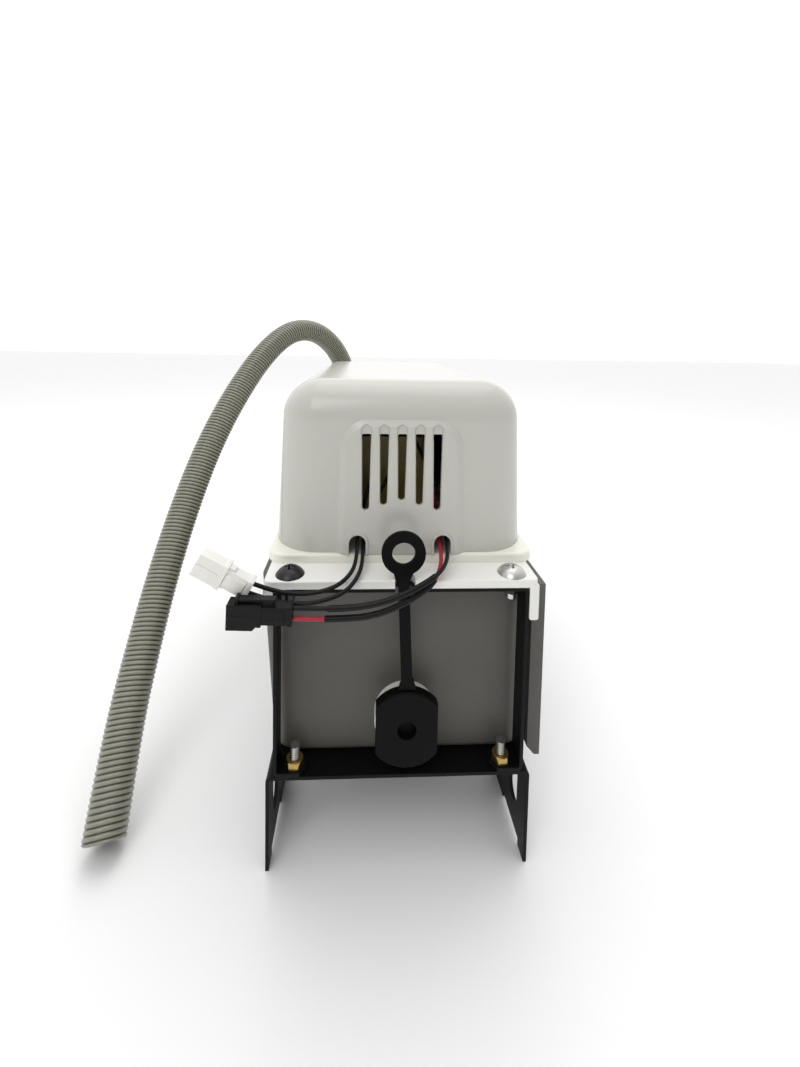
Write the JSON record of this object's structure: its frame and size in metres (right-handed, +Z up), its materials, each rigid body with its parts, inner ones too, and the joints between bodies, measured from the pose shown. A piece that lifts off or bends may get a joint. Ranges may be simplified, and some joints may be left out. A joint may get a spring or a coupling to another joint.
{
  "type": "condensate pump",
  "caption": "Small tank pump for condensate water: tank between two sheet-steel saddles, slotted motor cover on a screwed lid, float switch, check valve, spring hose and plug leads.",
  "frame": {"origin": "on the floor under the middle of the body's bounding box, leads and hose left out", "axes": "+X to the side with the wall plate, +Y from the capped front to the rear, +Z up"},
  "size_m": [0.2091, 0.2943, 0.245],
  "materials": {
    "black_steel": "satin black powder coat",
    "zinc": "bright zinc",
    "brass_hardware": "yellow passivated",
    "black_screw": "black oxide",
    "grey_plastic": "moulded, slightly mottled",
    "lid_plastic": "warm white, soft gloss",
    "white_plastic": "white, glossy",
    "cream_plastic": "cream, glossy",
    "black_rubber": "matt",
    "foam": "closed-cell foam",
    "steel": "turned",
    "can_steel": "plated sheet",
    "magnet": "ferrite",
    "bronze": "sintered",
    "lamination": "stacked sheet",
    "black_plastic": "satin",
    "natural_plastic": "natural nylon",
    "valve_plastic": "off-white",
    "float_foam": "fine cells",
    "board": "brown laminate",
    "glass_tube": "clear",
    "hose_vinyl": "clear vinyl over a steel helix",
    "black_wire": "satin insulation",
    "red_wire": "satin insulation",
    "shrink": "shrink sleeve",
    "contact": "tinned"
  },
  "bodies": {
    "pump": {"front_saddle": "black_steel", "rear_saddle": "black_steel", "front_hoop": "black_steel", "rear_hoop": "black_steel", "saddle_bolts": "zinc", "saddle_nuts": "brass_hardware", "tank": "grey_plastic", "wall_plate": "grey_plastic", "tank_port": "cream_plastic", "cap_strap": "black_rubber", "lid": "lid_plastic", "inlet_fitting": "valve_plastic", "lid_gasket": "foam", "lid_screws_black": "black_screw", "lid_screws_zinc": "zinc", "lid_nuts": "black_screw", "motor_base": "cream_plastic", "base_screws": "zinc", "motor_cover": "white_plastic", "pump_column": "natural_plastic", "motor_screws": "zinc", "lower_bell": "can_steel", "upper_bell": "can_steel", "motor_can": "can_steel", "field_magnets": "magnet", "lower_bearing": "bronze", "upper_bearing": "bronze", "volute": "natural_plastic", "strainer": "natural_plastic", "discharge_pipe": "natural_plastic", "check_valve": "valve_plastic", "outlet_barb": "valve_plastic", "hose_clamp": "zinc", "float_guide": "natural_plastic", "switch_board": "board", "board_bracket": "natural_plastic", "reed_switches": "glass_tube", "hose": "hose_vinyl", "alarm_lead_a": "black_wire", "alarm_lead_b": "black_wire", "power_lead_red": "red_wire", "power_lead_black": "black_wire", "red_lead_sleeve": "shrink", "black_lead_sleeve": "shrink", "white_connector": "natural_plastic", "white_contacts": "contact", "black_connector": "black_plastic", "black_contacts": "contact"},
    "rotor": {"motor_shaft": "steel", "armature": "lamination", "cooling_fan": "black_plastic", "impeller": "natural_plastic"},
    "float": {"tank_float": "float_foam", "float_rod": "steel", "float_magnet": "magnet"},
    "ball": {"valve_ball": "steel"},
    "cap": {"port_cap": "black_rubber"}
  },
  "joints": [
    {"name": "rotor_spin", "type": "hinge", "parent": "pump", "child": "rotor", "pos_m": [-0.00155, -0.02, 0.15], "axis": [0, 0, 1], "continuous": true},
    {"name": "float_rise", "type": "slide", "parent": "pump", "child": "float", "axis": [0, 0, 1], "range_m": [0, 0.022]},
    {"name": "ball_lift", "type": "slide", "parent": "pump", "child": "ball", "axis": [0, 0, 1], "range_m": [0, 0.004]},
    {"name": "cap_pull", "type": "slide", "parent": "pump", "child": "cap", "axis": [0, -1, 0], "range_m": [0, 0.022], "deforming": ["cap_strap"]}
  ]
}
